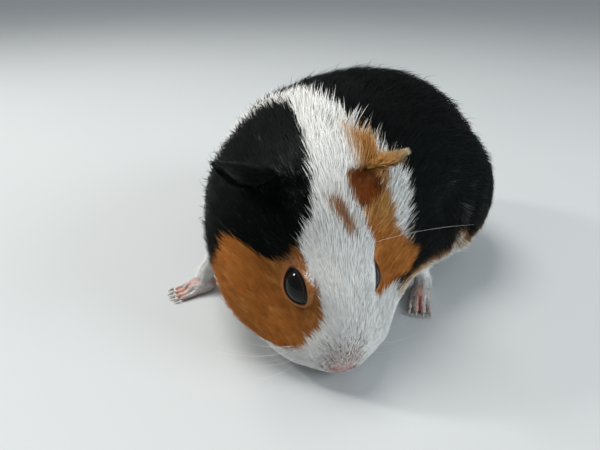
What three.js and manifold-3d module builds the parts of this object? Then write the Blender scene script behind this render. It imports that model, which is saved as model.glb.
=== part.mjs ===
// A young guinea pig, standing with its body curved to its left and its nose down near the floor, as one group
// of named solids: head, ears, eyes, neck, chest, belly, rump, four legs, four feet and fourteen claws.
// Millimetres, +Z up, the soles on z = 0 and the origin under the middle of the whole animal.
//
// The body is one smooth field, blended from ellipsoids and tapered capsules that stand for its masses and give
// the outline of the coat. Each node of the body is an icosphere cast onto that field and cut at its own planes.
import * as THREE from "three";
import { mergeVertices } from "three/addons/utils/BufferGeometryUtils.js";
import Module from "manifold-3d";

const wasm = await Module();
wasm.setup();
const V = (x, y, z) => new THREE.Vector3(x, y, z);
const DEG = Math.PI / 180;

// ---------------------------------------------------------------- driving dimensions

const GAP = 0.3; // between touching solids
const HEAD_LENGTH = 48; // nose to nape, coat included
const TRUNK_WIDTH = 66; // across the belly
const TRUNK_HEIGHT = 51.4; // floor to back
const EYE_RADIUS = 4.4;
const EAR_LENGTH = 12.8;
const EAR_WIDTH = 14;
const EAR_THICKNESS = 1.3;
const CAST_REACH = 130; // farther than any point of the body from a casting centre

// Places along the curved spine. A heading is the compass angle that the animal faces there, with 0 along +X.
const head = frame(V(5.2, 5.3, 22.8), -74.8, 43.5, -1);
const nape = frame(V(0.5, 19, 30.5), -80, 15, 0);
const chest = frame(V(3, 30, 27), -92, 0, 0);
const belly = frame(V(11.5, 46, 27.5), -109, 0, 0);
const pelvis = frame(V(25, 59, 27.5), -128, 0, 0);

// ---------------------------------------------------------------- frames and fields

// A place on the body with x forward, y to the animal's left and z up, turned to a heading, pitched nose down
// and rolled to its right, in degrees.
function frame(origin, heading, pitch = 0, roll = 0) {
  const turn = new THREE.Euler(roll * DEG, pitch * DEG, heading * DEG, "ZYX");
  const matrix = new THREE.Matrix4().compose(
    origin,
    new THREE.Quaternion().setFromEuler(turn),
    V(1, 1, 1),
  );
  const inverse = matrix.clone().invert();
  return { matrix, inverse, at: (x, y, z) => V(x, y, z).applyMatrix4(matrix) };
}

// Distance, roughly, from the surface of an ellipsoid that lies along a frame's axes. Negative inside.
function ellipsoid(place, [x, y, z], [rx, ry, rz]) {
  const q = V(0, 0, 0);
  return (p) => {
    q.copy(p).applyMatrix4(place.inverse);
    q.set((q.x - x) / rx, (q.y - y) / ry, (q.z - z) / rz);
    const scaled = q.length();
    q.set(q.x / rx, q.y / ry, q.z / rz);
    return scaled < 1e-9 ? -Math.min(rx, ry, rz) : (scaled * (scaled - 1)) / q.length();
  };
}

// Distance from a capsule whose radius runs from ra at a to rb at b, in a frame.
function taper(place, a, b, ra, rb) {
  const from = place.at(...a);
  const along = place.at(...b).sub(from);
  const q = V(0, 0, 0);
  return (p) => {
    q.copy(p).sub(from);
    const t = THREE.MathUtils.clamp(q.dot(along) / along.lengthSq(), 0, 1);
    return q.addScaledVector(along, -t).length() - THREE.MathUtils.lerp(ra, rb, t);
  };
}

// Union of fields that flow into each other over about the distance k.
function blend(k, ...fields) {
  return (p) =>
    fields.reduce((soFar, field) => {
      const d = field(p);
      const h = Math.max(k - Math.abs(soFar - d), 0) / k;
      return Math.min(soFar, d) - (h * h * k) / 4;
    }, 1e3);
}

const both = (make) => [make(1), make(-1)]; // the left and the right of a pair

// ---------------------------------------------------------------- the body's masses

const L = HEAD_LENGTH / 48;
const headField = blend(
  4.5,
  ellipsoid(head, [-9 * L, 0, 1], [16 * L, 14.8, 14.5]), // skull and its crown
  ellipsoid(head, [4.5 * L, 0, 2.2], [15.5 * L, 7.6, 8.8]), // forehead and bridge of the nose
  taper(head, [6 * L, 0, -4.2], [16.4 * L, 0, -3.6], 9.8, 8.4), // muzzle
  taper(head, [-4 * L, 0, -10], [14.5 * L, 0, -8], 9, 5.3), // lower jaw and chin
  ...both((s) => ellipsoid(head, [-2 * L, 11.5 * s, -8.9], [16.5, 11.2, 10.4])), // cheeks
  ...both((s) => ellipsoid(head, [11 * L, 7.9 * s, -6.2], [10, 7, 6.4])), // whisker pads
  ...both((s) => ellipsoid(head, [3.4 * L, 4.2 * s, 6], [6.5, 3.4, 3.2])), // brows
);

const W = TRUNK_WIDTH / 66;
const H = TRUNK_HEIGHT / 51.4;
const trunkField = blend(
  12,
  ellipsoid(nape, [0, 0, 0], [14, 16.5, 14]),
  ellipsoid(chest, [0, 0, 0], [22, 23 * W, 22 * H]),
  ellipsoid(belly, [0, 0, 0.5], [27, 30.5 * W, 22.2 * H]),
  ellipsoid(pelvis, [0, -2, 0.2], [24, 27.4 * W, 21.7 * H]),
  ellipsoid(belly, [-2, 25.6 * W, -10.2], [24, 12.2, 13.2]), // the left flank, pushed out by the bend
  ...both((s) => ellipsoid(chest, [4, 17 * s * W, -7], [11, 7, 11])), // shoulders
  ...both((s) => ellipsoid(pelvis, [2, 23 * s * W, -9.2], [16.5, 9.8, 13])), // haunches
);

const bodyField = blend(9, headField, trunkField);

// ---------------------------------------------------------------- casting, joining and cutting

// Half the distance is walked at each step, because an ellipsoid's field is only roughly a distance.
function reach(field, from, direction) {
  const p = from.clone();
  let low = 0;
  let high = CAST_REACH;
  for (let travelled = 0; travelled < CAST_REACH; ) {
    p.copy(from).addScaledVector(direction, travelled);
    const d = field(p);
    if (d > 0) {
      high = travelled;
      break;
    }
    low = travelled;
    travelled += Math.max(-d * 0.5, 0.2);
  }
  for (let i = 0; i < 12; i++) {
    const middle = (low + high) / 2;
    if (field(p.copy(from).addScaledVector(direction, middle)) > 0) high = middle;
    else low = middle;
  }
  return (low + high) / 2;
}

// An icosphere whose corners are moved out from a centre onto a field.
function cast(field, centre, detail) {
  const geometry = merged(new THREE.IcosahedronGeometry(1, detail));
  const position = geometry.getAttribute("position");
  const direction = V(0, 0, 0);
  for (let i = 0; i < position.count; i++) {
    direction.fromBufferAttribute(position, i).normalize();
    direction.multiplyScalar(reach(field, centre, direction)).add(centre);
    position.setXYZ(i, direction.x, direction.y, direction.z);
  }
  return geometry;
}

function merged(geometry) {
  const bare = new THREE.BufferGeometry();
  bare.setAttribute("position", geometry.getAttribute("position").clone());
  if (geometry.index) bare.setIndex(geometry.index.clone());
  return mergeVertices(bare, 1e-4);
}

function solid(geometry) {
  const bare = merged(geometry);
  return new wasm.Manifold(
    new wasm.Mesh({
      numProp: 3,
      vertProperties: Float32Array.from(bare.getAttribute("position").array),
      triVerts: Uint32Array.from(bare.index.array),
    }),
  );
}

function geometryOf(made) {
  const mesh = made.getMesh();
  const geometry = new THREE.BufferGeometry();
  const positions = new Float32Array(mesh.numVert * 3);
  for (let i = 0; i < mesh.numVert; i++)
    positions.set(mesh.vertProperties.subarray(i * mesh.numProp, i * mesh.numProp + 3), i * 3);
  geometry.setAttribute("position", new THREE.BufferAttribute(positions, 3));
  geometry.setIndex(new THREE.BufferAttribute(mesh.triVerts, 1));
  geometry.computeVertexNormals();
  return geometry;
}

// Everything on the side of a plane that its normal points to, as a large block.
function side(point, normal) {
  const size = 3 * CAST_REACH;
  const block = new THREE.BoxGeometry(size, size, size).translate(0, 0, size / 2);
  const turn = new THREE.Quaternion().setFromUnitVectors(V(0, 0, 1), normal.clone().normalize());
  block.applyQuaternion(turn).translate(point.x, point.y, point.z);
  return solid(block);
}

// A cut across the spine: what lies ahead of it and what lies behind, with the gap between them.
function cut(place, x) {
  const normal = place.at(1, 0, 0).sub(place.at(0, 0, 0));
  const middle = place.at(x, 0, 0);
  const shifted = (by) => middle.clone().addScaledVector(normal, by);
  return {
    ahead: side(shifted(GAP / 2), normal),
    behind: side(shifted(-GAP / 2), normal.clone().negate()),
  };
}

const grown = (field, by) => (p) => field(p) - by;
const aboveFloor = side(V(0, 0, 0), V(0, 0, 1));

// A closed surface of revolution round +Z: a capsule with radius ra at its foot and rb at its head.
function taperSolid(from, to, ra, rb, sides = 6, arcs = 2) {
  const length = from.distanceTo(to);
  const profile = [];
  for (let i = 0; i <= arcs; i++) profile.push(arcPoint(ra, (i / arcs - 1) * 90, 0));
  for (let i = 0; i <= arcs; i++) profile.push(arcPoint(rb, (i / arcs) * 90, length));
  profile[0].x = 0;
  profile.at(-1).x = 0;
  const shape = new THREE.LatheGeometry(profile, sides);
  const turn = new THREE.Quaternion().setFromUnitVectors(
    V(0, 0, 1),
    to.clone().sub(from).normalize(),
  );
  shape.rotateX(Math.PI / 2).applyQuaternion(turn).translate(from.x, from.y, from.z);
  return solid(shape);
}

function arcPoint(radius, degrees, height) {
  return new THREE.Vector2(radius * Math.cos(degrees * DEG), height + radius * Math.sin(degrees * DEG));
}

function ellipsoidSolid(place, [x, y, z], [rx, ry, rz], detail = 2) {
  const ball = new THREE.IcosahedronGeometry(1, detail).scale(rx, ry, rz).translate(x, y, z);
  return solid(ball.applyMatrix4(place.matrix));
}

// ---------------------------------------------------------------- eyes and ears

const EYE_APART = 12.4; // between the centres of the eyes, if both were as prominent as the right one
const LEFT_EYE_DEEPER = 1.7; // the left eye lies deeper behind its brow
const HEAD_MIDDLE = head.at(-2, 0, -1);
const HEAD_DETAIL = 7; // of the icosphere that takes the head's shape
const eyeCentre = (s) => head.at(6.7 * L, (EYE_APART / 2) * s - (s > 0 ? LEFT_EYE_DEEPER : 0), 4);
const eyeSolid = (s, by = 0) =>
  solid(new THREE.SphereGeometry(EYE_RADIUS + by, 14, 8).translate(...eyeCentre(s).toArray()));

// A petal that stands out from the side of the head, cupped forward, its upper rim folded over at the front.
// Its root is raised by lift, it may be drawn in to a share of EAR_LENGTH, it leans about its own length, it
// rises towards its tip, and curl is how far its rims fold over.
function earSolid(s, { lift, length, lean, rise, curl }) {
  const petal = merged(new THREE.SphereGeometry(1, 14, 10));
  const position = petal.getAttribute("position");
  const p = V(0, 0, 0);
  for (let i = 0; i < position.count; i++) {
    p.fromBufferAttribute(position, i);
    const out = (p.y + 1) / 2; // 0 at the root, 1 at the tip
    const across = p.x; // -1 at the lower rim, 1 at the upper rim
    const width = (EAR_WIDTH / 2) * (0.72 + 0.4 * Math.sin(Math.PI * out));
    const fold = (across > 0 ? 0.5 : 0.3) * curl;
    p.set(
      across * width,
      out * length * EAR_LENGTH,
      p.z * (EAR_THICKNESS / 2) * (1.5 - 0.6 * out) + fold * across * across * width,
    );
    position.setXYZ(i, p.x, p.y, p.z);
  }
  const up = V(0.3, 0, 1).normalize();
  const out = V(-0.25, -1, rise).normalize();
  const forward = up.clone().cross(out).normalize();
  up.copy(out).cross(forward);
  up.applyAxisAngle(out, lean * DEG);
  forward.applyAxisAngle(out, lean * DEG);
  petal.applyMatrix4(new THREE.Matrix4().makeBasis(up, out, forward));
  petal.translate(-13.2 * L, -9, 8.5 + lift);
  if (s > 0) petal.scale(1, -1, 1).setIndex(flipped(petal.index.array));
  return solid(petal.applyMatrix4(head.matrix));
}

function flipped(index) {
  const turned = Array.from(index);
  for (let i = 0; i < turned.length; i += 3) [turned[i], turned[i + 1]] = [turned[i + 1], turned[i]];
  return turned;
}

// ---------------------------------------------------------------- legs, feet and claws

// Each foot stands at a place on the floor and faces a heading. Its leg is the part of the body inside an
// oval drum at the shoulder or haunch, with a tapered limb from there down to the ankle.
const FORE = { toes: 4, length: 9, width: 5.8, height: 3.8, toe: 0.88, ankle: 2.3, spread: 6 };
const HIND = { toes: 3, length: 17, width: 6.4, height: 4.8, toe: 1.2, ankle: 3.4, spread: 6 };
const shoulder = (s) => ({ hub: chest, middle: [4, 25 * s, -8], radii: [10, 11, 12], thick: 6 });
const haunch = (s) => ({ hub: pelvis, middle: [1, 30 * s, -9], radii: [15, 14, 13], thick: 7 });
const feet = {
  front_right: { ...FORE, ...shoulder(-1), place: frame(V(-26.9, 22.1, 0), -152) },
  front_left: { ...FORE, ...shoulder(1), place: frame(V(31.2, 18.6, 0), -104) },
  hind_right: { ...HIND, ...haunch(-1), place: frame(V(2, 71, 0), -116) },
  hind_left: { ...HIND, ...haunch(1), place: frame(V(43, 51, 0), -124) },
};

// A toe's root and tip in the frame of its foot. Toes fan out, and the outer ones are shorter.
function toeLine(foot, i) {
  const share = (i - (foot.toes - 1) / 2) / ((foot.toes - 1) / 2); // -1 at the right toe, 1 at the left
  const angle = share * foot.spread * DEG;
  const length = foot.length * (0.5 - 0.07 * share * share);
  const root = V(foot.length * 0.12, share * (foot.width / 2 - foot.toe), foot.toe * 1.15);
  const tip = root.clone().add(V(length * Math.cos(angle), length * Math.sin(angle), -foot.toe * 0.25));
  return { root, tip };
}

function footSolid(foot, by = 0) {
  const { place, length, width, height } = foot;
  const pad = [length / 2, width / 2, height / 2 + 0.4].map((r) => r + by);
  let made = ellipsoidSolid(place, [-0.12 * length, 0, height / 2 - 0.2], pad);
  for (let i = 0; i < foot.toes; i++) made = made.add(toeSolid(foot, i, by));
  return made.add(ankleSolid(foot, by)).intersect(aboveFloor);
}

function ankleSolid(foot, by = 0) {
  const heel = foot.place.at(-0.22 * foot.length, 0, foot.height * 0.55);
  return taperSolid(heel, ankleOf(foot), foot.ankle + by, foot.ankle + by);
}

const ankleOf = (foot) => foot.place.at(-0.32 * foot.length, 0, foot.height + 2.5);
const jointOf = (foot) => foot.hub.at(foot.middle[0], foot.middle[1] * 0.6, foot.middle[2] * 0.8);

function legSolid(foot, whole, by = 0) {
  const limb = taperSolid(ankleOf(foot), jointOf(foot), foot.ankle + by, foot.thick + by, 8);
  return regionSolid(foot, by).intersect(whole).add(limb);
}

// An oval drum that passes sideways through the shoulder or haunch, to take its side of the body.
function regionSolid({ hub, middle, radii }, by) {
  const drum = new THREE.CylinderGeometry(1, 1, radii[1] * 2 + by, 12);
  drum.scale(radii[0] + by, 1, radii[2] + by);
  return solid(drum.translate(...middle).applyMatrix4(hub.matrix));
}

function toeSolid(foot, i, by = 0) {
  const { root, tip } = toeLine(foot, i);
  return taperSolid(foot.place.at(...root), foot.place.at(...tip), foot.toe * 1.12 + by, foot.toe * 0.92 + by, 6);
}

// A claw grows from the top of its toe's tip and curves down towards the floor.
function clawSolid(foot, i) {
  const { root, tip } = toeLine(foot, i);
  const along = tip.clone().sub(root).setZ(0).normalize();
  const start = tip.clone().addScaledVector(along, foot.toe * 0.3).setZ(foot.toe * 1.05);
  const end = tip.clone().addScaledVector(along, foot.toe * 2.3).setZ(foot.toe * 0.5);
  const claw = taperSolid(foot.place.at(...start), foot.place.at(...end), foot.toe * 0.55, 0.25, 6, 1);
  return largest(claw.subtract(toeSolid(foot, i, GAP)));
}

// ---------------------------------------------------------------- nodes

const cuts = [
  cut(nape, 2.5), // behind the ears and across the throat
  cut(chest, 3), // at the withers
  cut(belly, 11), // at the waist
  cut(pelvis, 9), // at the loin
];

// Between two cuts of the spine: behind the first, if there is one, and ahead of all that follow it.
function between(made, first) {
  const start = first < 0 ? made : made.intersect(cuts[first].behind);
  return cuts.slice(first + 1).reduce((kept, one) => kept.intersect(one.ahead), start);
}

const COAT = {
  black: { color: 0x0b0b0a, roughness: 0.75, metalness: 0 },
  white: { color: 0xdedcd6, roughness: 0.85, metalness: 0 },
};
const SKIN = { color: 0xd79c8c, roughness: 0.55, metalness: 0 };
const EAR_SKIN = { color: 0x7a4a30, roughness: 0.6, metalness: 0 };
const EYE = { color: 0x050404, roughness: 0.05, metalness: 0 };
const CLAW = { color: 0x8c7d6c, roughness: 0.4, metalness: 0 };

const animal = new THREE.Group();
function node(name, made, material) {
  const mesh = new THREE.Mesh(geometryOf(made), new THREE.MeshStandardMaterial(material));
  mesh.name = name;
  animal.add(mesh);
  return made;
}

const body = {
  neck: { from: nape.at(0, 0, -4), detail: 4, coat: COAT.white },
  chest: { from: chest.at(0, 0, 0), detail: 5, coat: COAT.black },
  belly: { from: belly.at(0, 0, 0), detail: 5, coat: COAT.black },
  rump: { from: pelvis.at(0, 0, 0), detail: 5, coat: COAT.black },
};
for (const part of Object.values(body)) part.whole = solid(cast(bodyField, part.from, part.detail));
const wholeOf = (foot) => (foot.hub === chest ? body.chest.whole : body.rump.whole);
const limbs = Object.values(feet)
  .map((foot) => legSolid(foot, side(V(0, 0, -CAST_REACH), V(0, 0, 1)), GAP).add(footSolid(foot, GAP)))
  .reduce((all, one) => all.add(one));

const ears = {
  left: earSolid(1, { lift: 1.4, length: 0.8, lean: 12, rise: 0.32, curl: 0.6 }),
  right: earSolid(-1, { lift: 3.6, length: 0.97, lean: 0, rise: 0.12, curl: 1 }),
};
const sockets = eyeSolid(1, GAP).add(eyeSolid(-1, GAP));
const headWhole = solid(cast(bodyField, HEAD_MIDDLE, HEAD_DETAIL));
node("head", largest(between(headWhole, -1).subtract(sockets).subtract(limbs)), COAT.white);
node("eye_left", eyeSolid(1), EYE);
node("eye_right", eyeSolid(-1), EYE);

const aroundHead = solid(cast(grown(bodyField, GAP), HEAD_MIDDLE, HEAD_DETAIL));
for (const [name, ear] of Object.entries(ears)) node("ear_" + name, largest(ear.subtract(aroundHead)), EAR_SKIN);

Object.entries(body).forEach(([name, { whole, coat }], i) => {
  node(name, largest(between(whole, i).subtract(limbs)), coat);
});

for (const [name, foot] of Object.entries(feet)) {
  const ankle = ankleOf(foot);
  const aboveAnkle = side(ankle, V(0, 0, 1));
  const belowAnkle = side(ankle.clone().setZ(ankle.z - GAP), V(0, 0, -1));
  node("leg_" + name, largest(clearOfHaunch(name, foot).intersect(aboveAnkle)), COAT.white);
  node("foot_" + name, largest(footSolid(foot).intersect(belowAnkle)), SKIN);
  for (let i = 0; i < foot.toes; i++)
    node("claw_" + name + "_" + (i + 1), clawSolid(foot, i), CLAW);
}

// A leg, whose drum at the shoulder stops short of the haunch on its own side.
function clearOfHaunch(name, foot) {
  const leg = legSolid(foot, wholeOf(foot));
  return name.startsWith("hind") ? leg : leg.subtract(regionSolid(feet[name.replace("front", "hind")], GAP));
}

// The largest body of a solid that a cut has left in pieces.
function largest(made) {
  const pieces = made.decompose();
  return pieces.reduce((best, piece) => (piece.volume() > best.volume() ? piece : best));
}

// The origin goes under the middle of the whole animal.
const box = new THREE.Box3().setFromObject(animal);
animal.position.set(-(box.min.x + box.max.x) / 2, -(box.min.y + box.max.y) / 2, 0);

export default animal;
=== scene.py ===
from typing import NamedTuple

import bmesh
import bpy
import numpy as np
from mathutils import Euler, Matrix, Vector
from mathutils.bvhtree import BVHTree
from mathutils.kdtree import KDTree


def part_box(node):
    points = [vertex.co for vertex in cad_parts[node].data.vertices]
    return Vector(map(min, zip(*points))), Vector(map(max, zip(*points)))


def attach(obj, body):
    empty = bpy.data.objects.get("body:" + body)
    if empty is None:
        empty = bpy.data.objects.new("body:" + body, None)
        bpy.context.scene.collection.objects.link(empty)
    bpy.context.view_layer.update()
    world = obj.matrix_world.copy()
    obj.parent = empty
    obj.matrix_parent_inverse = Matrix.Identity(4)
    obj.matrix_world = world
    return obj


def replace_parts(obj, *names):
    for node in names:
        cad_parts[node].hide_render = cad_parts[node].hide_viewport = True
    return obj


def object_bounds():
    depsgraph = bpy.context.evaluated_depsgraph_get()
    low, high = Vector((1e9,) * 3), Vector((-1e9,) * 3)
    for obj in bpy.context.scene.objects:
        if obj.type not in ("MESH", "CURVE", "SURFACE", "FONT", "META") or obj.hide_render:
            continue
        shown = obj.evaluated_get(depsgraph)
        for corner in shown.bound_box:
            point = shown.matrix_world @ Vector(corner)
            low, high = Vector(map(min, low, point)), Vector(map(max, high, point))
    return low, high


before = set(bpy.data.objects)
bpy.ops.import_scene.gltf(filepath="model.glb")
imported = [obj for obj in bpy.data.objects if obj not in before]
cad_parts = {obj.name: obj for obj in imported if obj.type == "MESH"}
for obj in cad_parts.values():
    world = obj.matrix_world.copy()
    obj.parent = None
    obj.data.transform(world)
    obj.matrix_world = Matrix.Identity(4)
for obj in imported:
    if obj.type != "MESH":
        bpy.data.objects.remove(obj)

# A young tricolour guinea pig. One skin stands for the flesh nodes of the frame, inside them by the depth of
# the coat, and solid tufts grow on it out to the outline. Sizes, and places in the head's own frame, are in
# millimetres. Points of the body are in the frame's metres, and MM turns the one into the other. Angles are
# in degrees, apart from the turns and lifts of the hair.
MM = 0.001
SEED = 20
UP = np.array([0.0, 0.0, 1.0])
CAD_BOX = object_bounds()

# ---- small tools


def unit(v):
    v = np.asarray(v, float)
    return v / np.maximum(np.linalg.norm(v, axis=-1, keepdims=True), 1e-12)


def smooth(value, start, end):
    """0 before start, 1 after end, and a soft step between them."""
    t = np.clip((np.asarray(value, float) - start) / (end - start), 0, 1)
    return t * t * (3 - 2 * t)


def mixed(a, b, share):
    share = np.asarray(share, float)[..., None]
    return a * (1 - share) + b * share


def filled(colour, count):
    return np.tile(colour, (count, 1))


def flattened(directions, normals):
    """The part of each direction that lies along the surface."""
    return directions - normals * (directions * normals).sum(1, keepdims=True)


def turned_about(direction, axis, angle):
    """Directions at right angles to their axes, turned about them by angles in radians."""
    return direction * np.cos(angle)[:, None] + np.cross(axis, direction) * np.sin(angle)[:, None]


def array_of(items, key, columns, kind=float):
    """A property of all items of a Blender collection, with a row for each item."""
    found = np.zeros(len(items) * columns, kind)
    items.foreach_get(key, found)
    return found.reshape(-1, columns)


def centre(node):
    low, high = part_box(node)
    return np.array((low + high) / 2)


def corners_of(node):
    return array_of(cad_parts[node].data.vertices, "co", 3)


class Place:
    """An origin in the frame with x forward, y to the animal's left and z up. Its own lengths are in mm."""

    def __init__(self, origin, x, y):
        self.origin = np.asarray(origin, float)
        self.x = unit(x)
        self.y = unit(y)
        self.z = np.cross(self.x, self.y)
        self.axes = np.stack([self.x, self.y, self.z])

    def at(self, *local):
        return self.origin + np.asarray(local, float) @ self.axes * MM

    def local(self, points):
        return (points - self.origin) @ self.axes.T / MM

    def turned(self, directions):
        return directions @ self.axes


# ---- places on the animal

HEAD_PITCH = 43.5  # nose down
EYE_FORWARD = 6.7  # of the head's own origin
EYE_HIGH = 4.0  # over the head's own origin


def head_place():
    left, right = centre("eye_left"), centre("eye_right")
    y = unit(left - right)
    level = unit(np.cross(y, UP))
    lift = np.cross(level, y)
    dip = np.arcsin(np.sin(np.radians(HEAD_PITCH)) / lift[2])
    x = level * np.cos(dip) - lift * np.sin(dip)
    place = Place((left + right) / 2, x, y)
    place.origin = place.at(-EYE_FORWARD, 0, -EYE_HIGH)
    return place


def spine_place(node, ahead, behind):
    """A level place at a node of the spine, facing from the node behind to the one ahead."""
    forward = centre(ahead) - centre(behind)
    forward[2] = 0
    return Place(centre(node), forward, np.cross(UP, forward))


HEAD = head_place()
NECK = spine_place("neck", "neck", "chest")
EYES = ("eye_left", "eye_right")
EARS = ("ear_left", "ear_right")
LEGS = ("front_right", "front_left", "hind_right", "hind_left")
TRUNK = ("chest", "belly", "rump")
FLESH = ("head", "neck", *TRUNK, *("leg_" + n for n in LEGS), *("foot_" + n for n in LEGS))


def side_angle(local):
    """The angle round the head's long axis from the midline of the forehead, positive to the left."""
    return np.degrees(np.arctan2(local[..., 1], local[..., 2] + 6))


def polar_from(points, middle, axis, front, upward):
    """The distance from a middle in mm, the angle from an axis, and the angle round it from the front."""
    away = (points - middle) / MM
    far = np.maximum(np.linalg.norm(away, axis=1), 1e-6)
    from_axis = np.degrees(np.arccos(np.clip(away @ axis / far, -1, 1)))
    return far, from_axis, np.degrees(np.arctan2(away @ upward, away @ front))


# ---- meshes


def triangle_mesh(name, points, triangles):
    mesh = bpy.data.meshes.new(name)
    mesh.vertices.add(len(points))
    mesh.vertices.foreach_set("co", np.ascontiguousarray(points, np.float32).ravel())
    mesh.loops.add(triangles.size)
    mesh.loops.foreach_set("vertex_index", np.ascontiguousarray(triangles, np.int32).ravel())
    mesh.polygons.add(len(triangles))
    mesh.polygons.foreach_set("loop_start", np.arange(0, triangles.size, 3, dtype=np.int32))
    mesh.polygons.foreach_set("use_smooth", np.ones(len(triangles), bool))
    mesh.update(calc_edges=True)
    return mesh


def in_scene(name, data):
    """A new object of some data, linked into the scene."""
    made = bpy.data.objects.new(name, data)
    bpy.context.scene.collection.objects.link(made)
    return made


def add_object(name, mesh, material):
    """A visible piece that rides on the body."""
    made = in_scene(name, mesh)
    mesh.materials.append(material)
    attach(made, "root")
    return made


def paint(mesh, colours):
    rgba = np.ones((len(colours), 4), np.float32)
    rgba[:, :3] = colours
    layer = mesh.color_attributes.new("markings", "FLOAT_COLOR", "POINT")
    layer.data.foreach_set("color", rgba.ravel())


def grid_triangles(rows, columns, closed=False):
    """Triangles of a rolled sheet of points, with its last row joined to its first if it is closed."""
    row, column = np.meshgrid(np.arange(rows - (not closed)), np.arange(columns), indexing="ij")
    row, column = row.ravel(), column.ravel()
    below, beside = (row + 1) % rows, (column + 1) % columns
    a, b = row * columns + column, row * columns + beside
    c, d = below * columns + column, below * columns + beside
    return np.concatenate([np.stack([a, b, d], 1), np.stack([a, d, c], 1)])


def tube(path, radii, sides=6):
    """Points and triangles of a closed tube along a path of points."""
    path = np.asarray(path, float)
    along = unit(np.gradient(path, axis=0))
    helper = np.array([0.31, 0.17, 0.93])
    across = unit(np.cross(along, helper))
    other = np.cross(along, across)
    turn = np.linspace(0, 2 * np.pi, sides, endpoint=False)
    ring = across[:, None] * np.cos(turn)[None, :, None] + other[:, None] * np.sin(turn)[None, :, None]
    points = (path[:, None] + ring * np.asarray(radii)[:, None, None]).reshape(-1, 3)
    triangles = grid_triangles(len(path), sides)
    last = len(points)
    points = np.concatenate([points, path[:1], path[-1:]])
    k = np.arange(sides)
    foot = np.stack([np.full(sides, last), (k + 1) % sides, k], 1)
    top = last - sides
    head = np.stack([np.full(sides, last + 1), top + k, top + (k + 1) % sides], 1)
    return points, np.concatenate([triangles, foot, head])


def joined(parts):
    points, triangles, count = [], [], 0
    for p, t in parts:
        points.append(p)
        triangles.append(t + count)
        count += len(p)
    return np.concatenate(points), np.concatenate(triangles)


# ---- the skin's shape

VOXEL = 0.5
CLOSE_GAPS = 0.2  # each node is grown by this, so that the thin cuts between them fill


TOES_CLEARANCE = 2.2  # the trunk's skin is raised by up to this over the hind toes, to stay apart from them


def toes_middle(leg):
    tips, back = toe_lines(leg)
    return sum(tips) / len(tips) + back * 4 * MM


def raised_over(place, toes):
    """How far a place on the trunk is raised over the middles of the toes, in metres."""
    lift = 0.0
    for middle in toes:
        away = np.hypot(place.x - middle[0], place.y - middle[1]) / MM
        lift = max(lift, TOES_CLEARANCE * smooth(away, 12, 7))
    return lift * smooth(place.z / MM, 7, 3) * MM


def flesh_mesh():
    """The flesh nodes and the eyes, each slightly grown, in one mesh."""
    toes = [toes_middle(leg) for leg in LEGS if leg.startswith("hind")]
    whole = bmesh.new()
    for name in (*FLESH, "eye_left", "eye_right"):
        part = bmesh.new()
        part.from_mesh(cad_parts[name].data)
        bmesh.ops.remove_doubles(part, verts=part.verts, dist=1e-6)
        part.normal_update()
        for v in part.verts:
            v.co += v.normal * CLOSE_GAPS * MM
            if name in TRUNK:
                v.co.z += raised_over(v.co, toes)
        mesh = bpy.data.meshes.new(name)
        part.to_mesh(mesh)
        part.free()
        whole.from_mesh(mesh)
        bpy.data.meshes.remove(mesh)
    made = bpy.data.meshes.new("flesh")
    whole.to_mesh(made)
    whole.free()
    return made


def evaluated(mesh, add_modifier):
    """The mesh that a modifier makes of another."""
    work = in_scene("work", mesh)
    add_modifier(work)
    bpy.context.view_layer.update()
    shaped = bpy.data.meshes.new_from_object(work.evaluated_get(bpy.context.evaluated_depsgraph_get()))
    bpy.data.objects.remove(work)
    return shaped


def voxels(work):
    modifier = work.modifiers.new("voxels", "REMESH")
    modifier.mode = "VOXEL"
    modifier.voxel_size = VOXEL * MM


class Surface:
    """A mesh with its points, and the two ends of its edges both ways round, as arrays."""

    def __init__(self, mesh):
        self.mesh = mesh
        self.points = array_of(mesh.vertices, "co", 3)
        edges = array_of(mesh.edges, "vertices", 2, np.int32)
        self.ends = np.concatenate([edges, edges[:, ::-1]])
        self.degree = np.maximum(np.bincount(self.ends[:, 0], minlength=len(self.points)), 1)

    def smoothed(self, values, rounds, keep=0.4):
        """Values at the points, averaged with their neighbours' a number of times."""
        values = np.array(values, float)
        flat = values.ndim == 1
        values = values[:, None] if flat else values
        for _ in range(rounds):
            near = [
                np.bincount(self.ends[:, 0], weights=column[self.ends[:, 1]], minlength=len(column))
                for column in values.T
            ]
            values = values * keep + np.stack(near, 1) / self.degree[:, None] * (1 - keep)
        return values[:, 0] if flat else values

    def store(self, points):
        self.points = points
        self.mesh.vertices.foreach_set("co", points.astype(np.float32).ravel())
        self.mesh.update()

    def normals(self):
        return array_of(self.mesh.vertex_normals, "vector", 3)


def nearest_nodes(points):
    """The index in FLESH of the node nearest to each point."""
    corners, triangles, owner, count = [], [], [], 0
    for index, name in enumerate(FLESH):
        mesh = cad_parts[name].data
        mesh.calc_loop_triangles()
        found = array_of(mesh.loop_triangles, "vertices", 3, np.int32)
        corners.append(corners_of(name))
        triangles.append(found + count)
        owner.append(np.full(len(found), index))
        count += len(corners[-1])
    owner = np.concatenate(owner)
    tree = BVHTree.FromPolygons(np.concatenate(corners).tolist(), np.concatenate(triangles).tolist())
    return np.array([owner[tree.find_nearest(p)[2]] for p in points.tolist()])


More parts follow.
